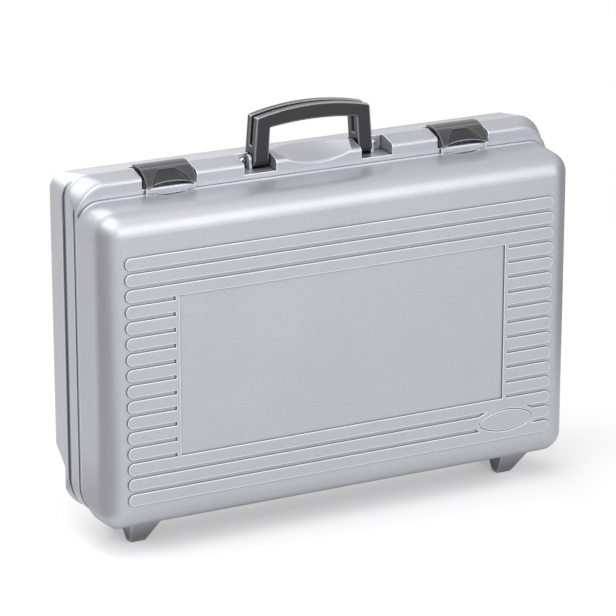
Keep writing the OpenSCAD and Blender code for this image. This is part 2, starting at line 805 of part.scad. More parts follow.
// The finger scoop in a latch: it widens towards the lip and has sloping sides
module thumb_scoop() {
    size = 100;
    spread = atan((latch_w / 2 - 5.5 - thumb_w / 2) / 19);
    intersection() {
        difference() {
            translate([-latch_w, latch_y - latch_r - 2, lip_z - 5]) cube([2 * latch_w, latch_r, latch_r]);
            rod_x(-latch_w, latch_w, latch_y, latch_z, latch_r - thumb_d);
        }
        translate([0, latch_y - latch_r * sin(thumb_a), latch_z + latch_r * cos(thumb_a)]) rotate([45, 0, 0])
            intersection() {
                translate([thumb_w / 2, 0, 0]) rotate([0, 0, spread]) rotate([0, 45, 0])
                    translate([-size, -size / 2, -size / 2]) cube(size);
                mirror([1, 0, 0]) translate([thumb_w / 2, 0, 0]) rotate([0, 0, spread]) rotate([0, 45, 0])
                    translate([-size, -size / 2, -size / 2]) cube(size);
                rotate([-45, 0, 0]) translate([-size / 2, -size, -size / 2]) cube(size);
            }
    }
}

module latch(s) {
    r = latch_r;
    half = latch_w / 2;
    hollow_r = (half * half + lip_hollow * lip_hollow) / (2 * lip_hollow);
    back = latch_pin_y + 3;
    color(graphite) translate([s * latch_x, part_y, 0]) difference() {
        union() {
            // Curved plate
            along_x(-half, half) intersection() {
                difference() {
                    translate([latch_y, latch_z]) circle(r);
                    translate([latch_y, latch_z]) circle(r - latch_t);
                }
                polygon([[latch_y - r - 1, lip_z], [latch_y, lip_z], [back, latch_z + 10],
                         [back, latch_z + r + 1], [latch_y - r - 1, latch_z + r + 1]]);
            }
            // Cheeks that reach down to the pin
            for (e = [-1, 1]) along_x(e * (half - 1.5) - 1.5, e * (half - 1.5) + 1.5) intersection() {
                union() {
                    translate([latch_pin_y, latch_pin_z]) circle(cheek_r);
                    translate([1.5, recess_floor + run_gap]) square([latch_pin_y - 1.5, r]);
                }
                translate([latch_y, latch_z]) circle(r - 0.5);
            }
        }
        thumb_scoop();
        // Hollow lower edge
        along_y(-r, r / 2) translate([0, lip_z + lip_hollow - hollow_r]) circle(hollow_r, $fn = 240);
        rod_x(-half - 1, half + 1, latch_pin_y, latch_pin_z, latch_pin_d / 2 + pin_clear);
    }
}

module latch_pin(s) {
    reach = recess_w / 2 + 3.2;
    color(steel) translate([0, part_y, 0])
        rod_x(s * latch_x - reach, s * latch_x + reach, latch_pin_y, latch_pin_z, latch_pin_d / 2);
}

// Hinges

module hinge_pin(s) {
    reach = hinge_half - knuckle_gap / 2;
    color(steel) translate([0, part_y, 0])
        rod_x(s * hinge_x - reach, s * hinge_x + reach, 0, hinge_z, hinge_pin_d / 2);
}

rear_shell();
front_shell();
handle();
handle_pin(-1);  // handle_pin_left
handle_pin(1);  // handle_pin_right
handle_screws();
latch(-1);  // latch_left
latch(1);  // latch_right
latch_pin(-1);  // latch_pin_left
latch_pin(1);  // latch_pin_right
hinge_pin(-1);  // hinge_pin_left
hinge_pin(1);  // hinge_pin_right
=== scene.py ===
"""Dresses the plastic carrying case in its real finishes and sets up a studio view of it."""

import math
from types import SimpleNamespace

import bmesh
import bpy
from bpy.props import FloatProperty, FloatVectorProperty, PointerProperty, StringProperty
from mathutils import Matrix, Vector


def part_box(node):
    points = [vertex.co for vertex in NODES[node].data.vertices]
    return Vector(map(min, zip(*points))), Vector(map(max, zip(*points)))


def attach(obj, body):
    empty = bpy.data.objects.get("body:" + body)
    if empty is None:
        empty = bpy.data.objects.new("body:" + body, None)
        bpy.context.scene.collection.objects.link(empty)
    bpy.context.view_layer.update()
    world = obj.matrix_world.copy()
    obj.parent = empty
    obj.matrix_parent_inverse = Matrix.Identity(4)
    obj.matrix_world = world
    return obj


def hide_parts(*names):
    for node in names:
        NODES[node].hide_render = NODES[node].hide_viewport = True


bl_info = {
    "name": "Carrying Case Finishes",
    "version": (1, 0, 0),
    "blender": (4, 5, 0),
    "location": "View3D > Sidebar > Case",
    "description": "Dresses a moulded plastic carrying case in its real finishes and sets up a "
                   "studio view",
    "category": "Object",
}

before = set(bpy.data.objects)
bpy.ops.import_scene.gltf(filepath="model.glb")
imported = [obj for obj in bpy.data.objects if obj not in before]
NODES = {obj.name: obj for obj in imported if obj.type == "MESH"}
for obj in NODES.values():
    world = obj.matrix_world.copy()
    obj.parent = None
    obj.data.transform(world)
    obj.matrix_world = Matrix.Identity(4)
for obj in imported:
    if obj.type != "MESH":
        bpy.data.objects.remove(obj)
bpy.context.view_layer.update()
MM = 0.001
WHITE = "#FFFFFF"

# Sockets of the Mix node, which has a set of them for each kind of value
COLOUR_UNDER, COLOUR_OVER, COLOUR_OUT = 6, 7, 2
NUMBER_UNDER, NUMBER_OVER = 2, 3


class CaseStageSettings(bpy.types.PropertyGroup):
    """Camera, lamps and floor of the studio view."""

    camera_at: FloatVectorProperty(
        name="Camera place", description="Where the camera stands", size=3, unit="LENGTH",
        default=(-1.3259, -2.5709, 1.1347))
    camera_pitch: FloatProperty(
        name="Camera pitch", description="How far the camera looks down", subtype="ANGLE",
        default=math.radians(18.14))
    camera_yaw: FloatProperty(
        name="Camera yaw", description="How far the camera is turned to the right",
        subtype="ANGLE", default=math.radians(27.16))
    lens_mm: FloatProperty(
        name="Lens", description="Focal length in millimetres on a sensor 36 mm wide",
        unit="CAMERA", default=193.46)
    floor_colour: StringProperty(
        name="Floor", description="Floor colour as sRGB hex", default="#FBFBFB")
    key_watts: FloatProperty(
        name="Key lamp", description="Power of the soft box in front of the case",
        unit="POWER", default=19.0)
    top_watts: FloatProperty(
        name="Top lamp", description="Power of the soft box above", unit="POWER", default=40.0)
    side_watts: FloatProperty(
        name="Side lamp", description="Power of the soft box at the left", unit="POWER",
        default=6.5)
    back_watts: FloatProperty(
        name="Back lamp", description="Power of the soft box behind the case", unit="POWER",
        default=18.0)
    room_level: FloatProperty(
        name="Room light", description="Strength of the even light from all sides", default=0.44)


class CasePlasticSettings(bpy.types.PropertyGroup):
    """Colours of the finishes and roundings of the edges."""

    shell: StringProperty(
        name="Shells", description="Silver-grey of the shells as sRGB hex", default="#B3B3BA")
    bare: StringProperty(
        name="Inside", description="Unlacquered grey inside the shells as sRGB hex",
        default="#8F9093")
    handle: StringProperty(
        name="Handle", description="Charcoal of the handle as sRGB hex", default="#1F1F21")
    latch: StringProperty(
        name="Latches", description="Dark grey of the latches as sRGB hex", default="#333335")
    steel: StringProperty(
        name="Steel", description="Colour of the plated steel as sRGB hex", default="#C9C9C6")
    shell_round: FloatProperty(
        name="Shell edges", description="Rounding of the shells' edges", unit="LENGTH",
        default=0.0009)
    handle_round: FloatProperty(
        name="Handle edges", description="Rounding of the handle's edges", unit="LENGTH",
        default=0.0011)
    latch_round: FloatProperty(
        name="Latch edges", description="Rounding of the latches' edges", unit="LENGTH",
        default=0.0005)


# Colours and nodes

def linear(hex_colour):
    """Turns an sRGB hex colour into the linear values that the shaders use."""
    digits = hex_colour.lstrip("#")
    channels = [int(digits[i:i + 2], 16) / 255 for i in (0, 2, 4)]
    return tuple(c / 12.92 if c <= 0.04045 else ((c + 0.055) / 1.055) ** 2.4
                 for c in channels) + (1.0,)


def shade(colour, factor):
    """A linear colour made lighter or darker."""
    return tuple(min(1.0, c * factor) for c in colour[:3]) + (1.0,)


def add_node(owner, kind, location, inputs=None, **settings):
    """Adds a node with its settings. Inputs given as a node or a socket are linked to it."""
    tree = owner.node_tree
    node = tree.nodes.new(kind)
    node.location = location
    for key, value in settings.items():
        setattr(node, key, value)
    for key, value in (inputs or {}).items():
        if isinstance(value, bpy.types.Node):
            value = value.outputs[0]
        if isinstance(value, bpy.types.NodeSocket):
            tree.links.new(value, node.inputs[key])
        else:
            node.inputs[key].default_value = value
    return node


def new_material(name):
    """A material with an empty node tree."""
    material = bpy.data.materials.new(name)
    material.use_nodes = True
    material.node_tree.nodes.clear()
    return material


def rising(first_mm, last_mm):
    """Inputs for a mask that rises from 0 at the first place to 1 at the last."""
    return {"From Min": first_mm * MM, "From Max": last_mm * MM}


def overlap(m, location, *masks):
    """Keeps what all the masks share."""
    x, y = location
    shared = masks[0]
    for step, mask in enumerate(masks[1:]):
        shared = add_node(m, "ShaderNodeMath", (x + 200 * step, y), {0: shared, 1: mask},
                          operation="MULTIPLY")
    return shared


def layered(m, tone, layers, location=(-900, 300)):
    """Lays colours over a first one where their masks say, in the order that they came."""
    x, y = location
    for step, (mask, colour) in enumerate(layers):
        mix = add_node(m, "ShaderNodeMix", (x + 180 * step, y),
                       {0: mask, COLOUR_UNDER: tone, COLOUR_OVER: colour}, data_type="RGBA")
        tone = mix.outputs[COLOUR_OUT]
    return tone


def seen_mask(owner, x, y):
    """1 for what the camera sees, also in gloss or through glass, and 0 for light on the case."""
    path = add_node(owner, "ShaderNodeLightPath", (x, y)).outputs
    seen = add_node(owner, "ShaderNodeMath", (x + 200, y),
                    {0: path["Is Camera Ray"], 1: path["Is Glossy Ray"]}, operation="MAXIMUM")
    return add_node(owner, "ShaderNodeMath", (x + 400, y),
                    {0: seen, 1: path["Is Transmission Ray"]}, operation="MAXIMUM")


# What the mouldings have in common. Places are in millimetres in the frame of the CAD:
# x to the right from the middle, y to the back and z up from the floor.

# The rim turns down at its ends between these places
RIM_END_X = (195, 212)
RIM_END_Z = (292, 308)
# Shade is painted where walls lie within this distance, and its mask rises as they close in
CORNER_REACH = 2.5
CORNER_OPEN, CORNER_CLOSED = 0.92, 0.5
# From the first trace of a painted edge highlight to the fullest, as a share of the plastic below
HIGHLIGHT_SPAN = 0.25
# How far a thick wall sinks as it cools
SINK_DEPTH = 0.12


def mould_surface(m, round_mm, edge_probe_mm, highlight_from, grain_mm, grain_depth_mm, wave_mm,
                  corner_round_mm=None):
    """Adds what every moulding has: soft edges, the grain of its tool and a slight sink.

    An edge gets a painted highlight where less than highlight_from of what lies within
    edge_probe_mm below the surface is plastic, and shade is painted where walls close in. Returns
    the masks and patterns that the finishes build on.
    """
    place = add_node(m, "ShaderNodeTexCoord", (-2600, 0)).outputs["Object"]
    radius = round_mm * MM
    if corner_round_mm:
        # The tool was blended by hand where the rim turns down, so the rounding grows there
        axes = add_node(m, "ShaderNodeSeparateXYZ", (-2400, -600), {0: place}).outputs
        ends = add_node(m, "ShaderNodeMath", (-2200, -600), {0: axes["X"]}, operation="ABSOLUTE")
        ends = add_node(m, "ShaderNodeMapRange", (-2000, -600),
                        {**rising(*RIM_END_X), "Value": ends})
        high = add_node(m, "ShaderNodeMapRange", (-2000, -800),
                        {**rising(*RIM_END_Z), "To Max": (corner_round_mm - round_mm) * MM,
                         "Value": axes["Z"]})
        radius = add_node(m, "ShaderNodeMath", (-1800, -600),
                          {0: ends, 1: high, 2: round_mm * MM}, operation="MULTIPLY_ADD")
    rounded = add_node(m, "ShaderNodeBevel", (-1600, -600), {"Radius": radius}, samples=6)

    # Highlights are painted on edges where little plastic lies below
    below = add_node(m, "ShaderNodeAmbientOcclusion", (-1600, -800), {"Distance": edge_probe_mm * MM},
                     samples=8, inside=True)
    painted_edge_highlight = add_node(m, "ShaderNodeMapRange", (-1200, -800),
                     {"From Min": highlight_from, "From Max": highlight_from - HIGHLIGHT_SPAN,
                      "Value": below.outputs["AO"]})
    # Shade is painted where walls close in
    above = add_node(m, "ShaderNodeAmbientOcclusion", (-1600, -1050),
                     {"Distance": CORNER_REACH * MM}, samples=8)
    painted_corner_shade = add_node(m, "ShaderNodeMapRange", (-1200, -1050),
                      {"From Min": CORNER_OPEN, "From Max": CORNER_CLOSED,
                       "Value": above.outputs["AO"]})

    wave = add_node(m, "ShaderNodeTexNoise", (-1600, -200),
                    {"Scale": 1 / (wave_mm * MM), "Detail": 1.0, "Vector": place})
    grain = add_node(m, "ShaderNodeTexNoise", (-1600, 100),
                     {"Scale": 1 / (grain_mm * MM), "Detail": 3.0, "Vector": place})
    sink = add_node(m, "ShaderNodeBump", (-1200, -300),
                    {"Strength": 1.0, "Distance": SINK_DEPTH * MM, "Height": wave,
                     "Normal": rounded})
    normal = add_node(m, "ShaderNodeBump", (-900, -300),
                      {"Strength": 0.5, "Distance": grain_depth_mm * MM, "Height": grain,
                       "Normal": sink})
    return SimpleNamespace(place=place, grain=grain, wave=wave, painted_edge_highlight=painted_edge_highlight, painted_corner_shade=painted_corner_shade,
                           normal=normal)


# The shells

# The box that the walls inside the shells lie in
INSIDE_MIDDLE = (0, 0, 172.5)
INSIDE_HALF = (237.1, 58, 150)
# The strip of the lid's top beside the rim, where a highlight is painted
SEAM_Y = (-15.5, -12.5)
LID_REAR_Y = -9.1
LID_TOP_Z = 300
SEAM_FACES_UP = (0.5, 0.8)
# Shade painted on the feet fades out upwards
LOW_SHADE_Z = (22, 8)
LOW_SHADE_MOST = 0.3
# Patches of the lacquer's flakes are as wide as a hand
DRIFT_WIDTH = 110


def inside_mask(m, place):
    """Masks the walls that the lacquer doesn't reach: they lie in a box and face its middle."""
    middle = tuple(c * MM for c in INSIDE_MIDDLE)
    half = tuple(c * MM for c in INSIDE_HALF)
    arm = add_node(m, "ShaderNodeVectorMath", (-1400, 900), {0: place, 1: middle},
                   operation="SUBTRACT")
    reach = add_node(m, "ShaderNodeVectorMath", (-1200, 900), {0: arm}, operation="ABSOLUTE")
    room = add_node(m, "ShaderNodeVectorMath", (-1000, 900), {0: half, 1: reach},
                    operation="SUBTRACT")
    axes = add_node(m, "ShaderNodeSeparateXYZ", (-800, 900), {0: room}).outputs
    least = add_node(m, "ShaderNodeMath", (-600, 900), {0: axes["X"], 1: axes["Y"]},
                     operation="MINIMUM")
    least = add_node(m, "ShaderNodeMath", (-400, 900), {0: least, 1: axes["Z"]},
                     operation="MINIMUM")
    boxed = add_node(m, "ShaderNodeMath", (-200, 900), {0: least, 1: 0.0},
                     operation="GREATER_THAN")
    facing = add_node(m, "ShaderNodeTexCoord", (-1400, 1100)).outputs["Normal"]
    outward = add_node(m, "ShaderNodeVectorMath", (-1200, 1100), {0: arm, 1: facing},
                       operation="DOT_PRODUCT")
    inward = add_node(m, "ShaderNodeMath", (-1000, 1100),
                      {0: outward.outputs["Value"], 1: 0.0}, operation="LESS_THAN")
    return overlap(m, (0, 900), boxed, inward)


def seam_highlight_mask(m, place):
    """Masks the rear edge of the lid's top, where a highlight is painted."""
    axes = add_node(m, "ShaderNodeSeparateXYZ", (-1600, 1400), {0: place}).outputs
    near = add_node(m, "ShaderNodeMapRange", (-1400, 1400),
                    {**rising(*SEAM_Y), "Value": axes["Y"]})
    lid = add_node(m, "ShaderNodeMath", (-1400, 1600), {0: axes["Y"], 1: LID_REAR_Y * MM},
                   operation="LESS_THAN")
    facing = add_node(m, "ShaderNodeTexCoord", (-1800, 1800)).outputs["Normal"]
    facing = add_node(m, "ShaderNodeSeparateXYZ", (-1600, 1800), {0: facing}).outputs
    up = add_node(m, "ShaderNodeMapRange", (-1400, 1800),
                  {"From Min": SEAM_FACES_UP[0], "From Max": SEAM_FACES_UP[1],
                   "Value": facing["Z"]})
    high = add_node(m, "ShaderNodeMath", (-1400, 2000), {0: axes["Z"], 1: LID_TOP_Z * MM},
                    operation="GREATER_THAN")
    return overlap(m, (-1200, 1500), near, lid, up, high)


def lacquered_abs(colour, bare, round_mm):
    """ABS from a spark-eroded tool, lacquered silver: a satin metallic grey, finely speckled."""
    m = new_material("Silver ABS, spark-eroded and lacquered")
    mould = mould_surface(m, round_mm=round_mm, edge_probe_mm=1.0, highlight_from=0.93, grain_mm=1.3,
                          grain_depth_mm=0.05, wave_mm=34, corner_round_mm=5.0)
    base, plain = linear(colour), linear(bare)
    # The lacquer's flakes lie unevenly, so its tone drifts from place to place
    drift = add_node(m, "ShaderNodeTexNoise", (-1200, 500),
                     {"Scale": 1 / (DRIFT_WIDTH * MM), "Detail": 2.0, "Vector": mould.place})
    # A flake is 0.05 mm across: the speckle is drawn as coarse as the grain to show
    speckle = add_node(m, "ShaderNodeMapRange", (-1200, 100),
                       {"From Min": 0.42, "From Max": 0.7, "To Max": 0.4, "Value": mould.grain})
    # Shade is painted on the feet, darker towards the floor
    axes = add_node(m, "ShaderNodeSeparateXYZ", (-500, 600), {0: mould.place}).outputs
    low_shade = add_node(m, "ShaderNodeMapRange", (-300, 600),
                    {**rising(*LOW_SHADE_Z), "To Max": LOW_SHADE_MOST, "Value": axes["Z"]})
    # Inside, the bare plastic shows where the flow of the melt slowed down
    within = inside_mask(m, mould.place)
    flow = layered(m, shade(plain, 0.86), [(mould.wave, shade(plain, 1.1))], (0, 500))
    tone = layered(m, shade(base, 0.95), [
        (drift, shade(base, 1.05)),
        (speckle, shade(base, 0.8)),
        # Painted shade in corners and creases
        (mould.painted_corner_shade, shade(base, 0.24)),
        # Painted highlights on the edges
        (mould.painted_edge_highlight, shade(base, 1.9)),
        # Painted highlight along the lid's rear edge
        (seam_highlight_mask(m, mould.place), shade(base, 2.1)),
        # Painted shade on the feet
        (low_shade, shade(base, 0.22)),
        (within, flow),
    ])
    satin = add_node(m, "ShaderNodeMapRange", (-300, 0),
                     {"To Min": 0.38, "To Max": 0.46, "Value": mould.wave})
    rough = add_node(m, "ShaderNodeMix", (100, 0),
                     {0: within, NUMBER_UNDER: satin, NUMBER_OVER: 0.62})
    lacquer = add_node(m, "ShaderNodeMapRange", (100, -200),
                       {"To Min": 0.8, "To Max": 0.0, "Value": within})
    shader = add_node(m, "ShaderNodeBsdfPrincipled", (500, 0),
                      {"IOR": 1.5, "Base Color": tone, "Metallic": lacquer, "Roughness": rough,
                       "Normal": mould.normal})
    add_node(m, "ShaderNodeOutputMaterial", (900, 0), {"Surface": shader})
    return m


# The handle

# Highlights are painted on edges that face up, towards the light: the mask rises between these
# heights of the normal
LIT_FACES_UP = (-0.5, 0.3)


def filled_nylon(colour):
    """Glass-filled nylon, moulded: charcoal and satin, faintly leathery, with highlights painted
    on its upper edges.
    """
    m = new_material("Charcoal glass-filled nylon, moulded")
    mould = mould_surface(m, round_mm=0.4, edge_probe_mm=1.5, highlight_from=0.93, grain_mm=0.9,
                          grain_depth_mm=0.04, wave_mm=18)
    base = linear(colour)
    facing = add_node(m, "ShaderNodeTexCoord", (-1600, 600)).outputs["Normal"]
    facing = add_node(m, "ShaderNodeSeparateXYZ", (-1400, 600), {0: facing}).outputs
    upper = add_node(m, "ShaderNodeMapRange", (-1200, 600),
                     {"From Min": LIT_FACES_UP[0], "From Max": LIT_FACES_UP[1],
                      "Value": facing["Z"]})
    # Highlights painted on the upper edges are nearly white
    tone = layered(m, shade(base, 0.85), [
        (mould.grain, shade(base, 1.2)),
        # Painted shade in corners and creases
        (mould.painted_corner_shade, shade(base, 0.25)),
        (overlap(m, (-900, 600), upper, mould.painted_edge_highlight), shade(base, 60.0)),
    ])
    rough = add_node(m, "ShaderNodeMapRange", (-300, 0),
                     {"To Min": 0.26, "To Max": 0.36, "Value": mould.wave})
    shader = add_node(m, "ShaderNodeBsdfPrincipled", (500, 0),
                      {"IOR": 1.53, "Specular IOR Level": 0.4, "Base Color": tone,
                       "Roughness": rough, "Normal": mould.normal})
    add_node(m, "ShaderNodeOutputMaterial", (900, 0), {"Surface": shader})
    return m


# The latches

# Shade is painted into each latch's finger scoop.
# On each side the scoop widens by SCOOP_FLARE for every millimetre further down. A place's
# distance from the latch's middle plus SCOOP_FLARE times its height falls from the first value
# of SCOOP_WIDTH to the second where the scoop begins.
LATCH_X = 149.2
SCOOP_FLARE = 0.836
SCOOP_WIDTH = (293.0, 289.5)
SCOOP_TOP_Z = (341.0, 339.6)
SCOOP_REAR_Y = (12, 9)
# A painted highlight along a line above the scoop, and its half width from the first trace to the
# fullest
HIGHLIGHT_LINE_Z = 341.3
HIGHLIGHT_LINE_HALF = (0.6, 0.2)


def painted_scoop_masks(m, place):
    """Masks a latch's finger scoop, where shade is painted, and the line above it, where a
    highlight is painted.
    """
    axes = add_node(m, "ShaderNodeSeparateXYZ", (-1600, 900), {0: place}).outputs
    aside = add_node(m, "ShaderNodeMath", (-1400, 900), {0: axes["X"]}, operation="ABSOLUTE")
    aside = add_node(m, "ShaderNodeMath", (-1200, 900), {0: aside, 1: LATCH_X * MM},
                     operation="SUBTRACT")
    aside = add_node(m, "ShaderNodeMath", (-1000, 900), {0: aside}, operation="ABSOLUTE")
    flared = add_node(m, "ShaderNodeMath", (-800, 900), {0: axes["Z"], 1: SCOOP_FLARE, 2: aside},
                      operation="MULTIPLY_ADD")
    between = add_node(m, "ShaderNodeMapRange", (-600, 900),
                       {**rising(*SCOOP_WIDTH), "Value": flared})
    low = add_node(m, "ShaderNodeMapRange", (-600, 1100),
                   {**rising(*SCOOP_TOP_Z), "Value": axes["Z"]})
    front = add_node(m, "ShaderNodeMapRange", (-600, 1300),
                     {**rising(*SCOOP_REAR_Y), "Value": axes["Y"]})
    away = add_node(m, "ShaderNodeMath", (-1000, 1300), {0: axes["Z"], 1: HIGHLIGHT_LINE_Z * MM},
                    operation="SUBTRACT")
    away = add_node(m, "ShaderNodeMath", (-800, 1300), {0: away}, operation="ABSOLUTE")
    line = add_node(m, "ShaderNodeMapRange", (-600, 1500),
                    {**rising(*HIGHLIGHT_LINE_HALF), "Value": away})
    return overlap(m, (-400, 900), between, low, front), overlap(m, (-400, 1300), line, front)


def glossy_abs(colour):
    """ABS from a polished tool: dark grey with a soft gloss that shows the lamps."""
    m = new_material("Dark grey ABS, semi-gloss moulded")
    mould = mould_surface(m, round_mm=0.3, edge_probe_mm=1.0, highlight_from=0.95, grain_mm=1.1,
                          grain_depth_mm=0.02, wave_mm=22)
    base = linear(colour)
    scoop, highlight_line = painted_scoop_masks(m, mould.place)
    tone = layered(m, shade(base, 0.9), [
        (mould.wave, shade(base, 1.12)),
        # Painted shade in the finger scoop
        (scoop, shade(base, 0.3)),
        # Painted shade in corners and creases
        (mould.painted_corner_shade, shade(base, 0.7)),
        # Painted highlight along the line above the scoop
        (highlight_line, shade(base, 3.4)),
        # Painted highlights on the edges
        (mould.painted_edge_highlight, shade(base, 6.0)),
    ])
    rough = add_node(m, "ShaderNodeMapRange", (-300, 0),
                     {"To Min": 0.24, "To Max": 0.34, "Value": mould.grain})
    shader = add_node(m, "ShaderNodeBsdfPrincipled", (500, 0),
                      {"IOR": 1.54, "Base Color": tone, "Roughness": rough,
                       "Normal": mould.normal})
    add_node(m, "ShaderNodeOutputMaterial", (900, 0), {"Surface": shader})
    return m


# The pins and screws

def plated_steel(colour):
    """Zinc-plated steel, cold-headed and drawn: a pale metal with a slightly uneven gloss."""
    m = new_material("Zinc-plated steel, drawn")
    mould = mould_surface(m, round_mm=0.15, edge_probe_mm=0.3, highlight_from=0.9, grain_mm=0.5,
                          grain_depth_mm=0.02, wave_mm=6)
    base = linear(colour)
    tone = layered(m, shade(base, 0.88), [
        (mould.wave, shade(base, 1.05)),
        # Painted shade in corners and creases
        (mould.painted_corner_shade, shade(base, 0.3)),
    ])
    rough = add_node(m, "ShaderNodeMapRange", (-300, 0),
                     {"To Min": 0.22, "To Max": 0.4, "Value": mould.grain})
    shader = add_node(m, "ShaderNodeBsdfPrincipled", (500, 0),
                      {"Metallic": 1.0, "Base Color": tone, "Roughness": rough,
                       "Normal": mould.normal})
    add_node(m, "ShaderNodeOutputMaterial", (900, 0), {"Surface": shader})
    return m


# The pieces: nodes of the CAD that get a finish, and finer ones that stand for nodes

# Vertices closer than this are one
WELD = 0.01 * MM
# Neighbours that differ by less are one flat face, and by more meet in an edge that is rounded
FLAT_ANGLE = math.radians(0.6)
EDGE_ANGLE = math.radians(28)
# Edges sharper than this are drawn sharp
ROUNDED_SHARP_ANGLE = math.radians(40)
SCREW_SHARP_ANGLE = math.radians(35)

# A screw in millimetres: the radius and the depth below the head's top of each turned ring,
# from the tip to the head's side, then the radii of the rings on its dome
SCREW_RINGS = ((0.8, 10.0), (1.25, 9.4), (1.25, 2.0), (2.9, 2.0), (3.0, 1.8), (3.0, 0.75))
DOME_RINGS = (2.9, 2.7, 2.4, 2.1)
DOME_RADIUS = 6.0
DOME_CUT = 0.2
HEAD_RADIUS = 3.0
RING_POINTS = 48
# The cross recess: how far its arms reach, their half width, and for each ring going in the
# share of that outline and the depth
CROSS_REACH = 1.6
CROSS_HALF = 0.42
CROSS_RINGS = ((1.0, 0.12), (0.94, 0.3), (0.72, 1.3))


def dress(names, material):
    """Gives carried-over nodes a finish."""
    for name in names:
        node = NODES[name]
        node.data.materials.clear()
        node.data.materials.append(material)


def stand_in(name, mesh, node, body, material, sharp_angle):
    """Turns a finished mesh into a piece that stands for a node of the CAD."""
    for face in mesh.faces:
        face.smooth = True
    data = bpy.data.meshes.new(name)
    mesh.to_mesh(data)
    mesh.free()
    data.set_sharp_from_angle(angle=sharp_angle)
    data.materials.append(material)
    piece = bpy.data.objects.new(name, data)
    bpy.context.scene.collection.objects.link(piece)
    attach(piece, body)
    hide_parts(node)
    return piece


def rounded_piece(name, node, body, material, radius):
    """Makes a copy of a node with its sharp edges really rounded, and lets it stand for it."""
    source = NODES[node]
    mesh = bmesh.new()
    mesh.from_mesh(source.data)
    mesh.transform(source.matrix_world)
    bmesh.ops.remove_doubles(mesh, verts=mesh.verts, dist=WELD)
    bmesh.ops.dissolve_limit(mesh, angle_limit=FLAT_ANGLE, use_dissolve_boundaries=False,
                             verts=mesh.verts, edges=mesh.edges)
    sharp = [e for e in mesh.edges if len(e.link_faces) == 2 and e.calc_face_angle() > EDGE_ANGLE]
    bmesh.ops.bevel(mesh, geom=sharp, offset=radius, offset_type="OFFSET", segments=3,
                    profile=0.5, affect="EDGES", clamp_overlap=True)
    piece = stand_in(name, mesh, node, body, material, ROUNDED_SHARP_ANGLE)
    weigh = piece.modifiers.new("weighted_normals", "WEIGHTED_NORMAL")
    weigh.keep_sharp = True


def screw_ring(mesh, middle, depth_mm, radius_at):
    """Adds a ring of vertices round a screw's axis, which runs back along Y."""
    angles = [2 * math.pi * (i + 0.5) / RING_POINTS for i in range(RING_POINTS)]
    return [mesh.verts.new(middle + MM * Vector((radius_at(a) * math.cos(a), depth_mm,
                                                 radius_at(a) * math.sin(a))))
            for a in angles]


def cross_radius(angle):
    """The outline of the cross recess as a radius round the axis."""
    folded = (angle + math.pi / 4) % (math.pi / 2) - math.pi / 4
    sine = max(1e-6, abs(math.sin(folded)))
    return min(CROSS_REACH / math.cos(folded), CROSS_HALF / sine)


def add_screw(mesh, head):
    """Adds a screw whose domed head with a cross recess faces the front, with its top at head."""
    dome = [(r, DOME_RADIUS - math.sqrt(DOME_RADIUS ** 2 - r ** 2) - DOME_CUT) for r in DOME_RINGS]
    rings = [screw_ring(mesh, head, depth, lambda a, r=radius: r)
             for radius, depth in [*SCREW_RINGS, *dome]]
    rings += [screw_ring(mesh, head, depth, lambda a, s=share: s * cross_radius(a))
              for share, depth in CROSS_RINGS]
    for first, second in zip(rings, rings[1:]):
        for i in range(RING_POINTS):
            j = (i + 1) % RING_POINTS
            mesh.faces.new((first[i], first[j], second[j], second[i]))
    mesh.faces.new(list(reversed(rings[0])))
    mesh.faces.new(rings[-1])


def screws(name, node, body, material):
    """Puts screws with modelled heads in the place of the CAD's plain ones."""
    low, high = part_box(node)
    mesh = bmesh.new()
    for x in (low[0] + HEAD_RADIUS * MM, high[0] - HEAD_RADIUS * MM):
        add_screw(mesh, Vector((x, low[1], (low[2] + high[2]) / 2)))
    bmesh.ops.recalc_face_normals(mesh, faces=mesh.faces)
    stand_in(name, mesh, node, body, material, SCREW_SHARP_ANGLE)


class CASE_OT_shells(bpy.types.Operator):
    """Finish the two shells"""
    bl_idname = "case.shells"
    bl_label = "Shells"

    def execute(self, context):
        plastic = context.scene.case_plastic
        silver = lacquered_abs(plastic.shell, plastic.bare, plastic.shell_round / MM)
        dress(["rear_shell", "front_shell"], silver)
        return {"FINISHED"}


class CASE_OT_handle(bpy.types.Operator):
    """Round and finish the handle"""
    bl_idname = "case.handle"
    bl_label = "Handle"

    def execute(self, context):
        plastic = context.scene.case_plastic
        rounded_piece("grip", "handle", "handle", filled_nylon(plastic.handle),
                      plastic.handle_round)
        return {"FINISHED"}


class CASE_OT_latches(bpy.types.Operator):
    """Round and finish the latches"""
    bl_idname = "case.latches"
    bl_label = "Latches"

    def execute(self, context):
        plastic = context.scene.case_plastic
        dark = glossy_abs(plastic.latch)
        for side in ("left", "right"):
            rounded_piece(f"snap_latch_{side}", f"latch_{side}", f"latch_{side}",
                          dark, plastic.latch_round)
        return {"FINISHED"}


class CASE_OT_pins(bpy.types.Operator):
    """Finish the pins and the screws"""
    bl_idname = "case.pins"
    bl_label = "Pins and screws"

    def execute(self, context):
        steel = plated_steel(context.scene.case_plastic.steel)
        dress([f"{part}_pin_{side}" for part in ("handle", "latch", "hinge")
               for side in ("left", "right")], steel)
        screws("pan_screws", "handle_screws", "root", steel)
        return {"FINISHED"}


# The studio, in metres and degrees

CASE_MIDDLE = (0, 0, 0.25)
CASE_LOWER_MIDDLE = (0, 0, 0.2)
FLOOR_HALF = 6.0
# Up to the first distance WHITE_LEAST of the floor's look is plain white, and the rest is paint
# with the shadow on it. From the last distance on it is all white.
PAINT_REACH = (0.25, 1.1)
WHITE_LEAST = 0.32
